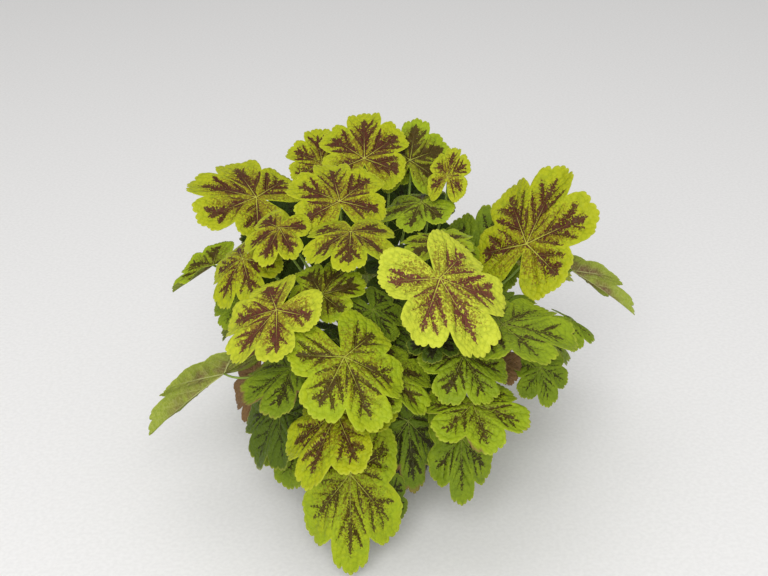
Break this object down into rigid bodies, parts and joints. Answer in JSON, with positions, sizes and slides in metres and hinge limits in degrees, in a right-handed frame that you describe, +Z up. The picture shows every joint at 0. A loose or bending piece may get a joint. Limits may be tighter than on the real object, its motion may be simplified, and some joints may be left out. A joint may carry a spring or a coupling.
{
  "type": "potted heuchera plant",
  "caption": "Low mounded foliage plant with lobed, toothed leaves on long stalks, standing in a round tapered plastic nursery pot.",
  "frame": {"origin": "middle of the pot's resting face, on the surface it stands on", "axes": "+Z up along the pot's axis; +Y away from the plant's front, +X to the right seen from the front"},
  "size_m": [0.4413, 0.3993, 0.3207],
  "materials": {
    "pot": "matte moulded plastic",
    "soil": "crumbly moist compost",
    "crown": "rough woody stock",
    "leaf_bright": "satin leaf, lime with burgundy-brown markings along the veins",
    "leaf_green": "satin leaf, green with darker veining",
    "leaf_withered": "dry leaf"
  },
  "bodies": {
    "root": {"pot": "pot", "soil": "soil", "crown": "crown", "leaf_01": "leaf_bright", "leaf_02": "leaf_bright", "leaf_03": "leaf_bright", "leaf_04": "leaf_bright", "leaf_05": "leaf_bright", "leaf_06": "leaf_green", "leaf_07": "leaf_green", "leaf_08": "leaf_bright", "leaf_09": "leaf_green", "leaf_10": "leaf_green", "leaf_11": "leaf_green", "leaf_12": "leaf_green", "leaf_13": "leaf_bright", "leaf_14": "leaf_bright", "leaf_15": "leaf_bright", "leaf_16": "leaf_green", "leaf_17": "leaf_green", "leaf_18": "leaf_green", "leaf_19": "leaf_bright", "leaf_20": "leaf_green", "leaf_21": "leaf_green", "leaf_22": "leaf_green", "leaf_23": "leaf_withered", "leaf_24": "leaf_bright", "leaf_25": "leaf_green", "leaf_26": "leaf_green", "leaf_27": "leaf_green", "leaf_28": "leaf_green", "leaf_29": "leaf_green", "leaf_30": "leaf_green", "leaf_31": "leaf_bright", "leaf_32": "leaf_bright", "leaf_33": "leaf_bright", "leaf_34": "leaf_bright", "leaf_35": "leaf_bright", "leaf_36": "leaf_bright", "leaf_37": "leaf_bright", "leaf_38": "leaf_green", "leaf_39": "leaf_green", "leaf_40": "leaf_green", "leaf_41": "leaf_green", "leaf_42": "leaf_green", "leaf_43": "leaf_green", "leaf_44": "leaf_green", "leaf_45": "leaf_green", "leaf_46": "leaf_green", "leaf_47": "leaf_green", "leaf_48": "leaf_green", "leaf_49": "leaf_green", "leaf_50": "leaf_green", "leaf_51": "leaf_green", "leaf_52": "leaf_green", "leaf_53": "leaf_green", "leaf_54": "leaf_green", "leaf_55": "leaf_green", "leaf_56": "leaf_green"}
  },
  "joints": []
}
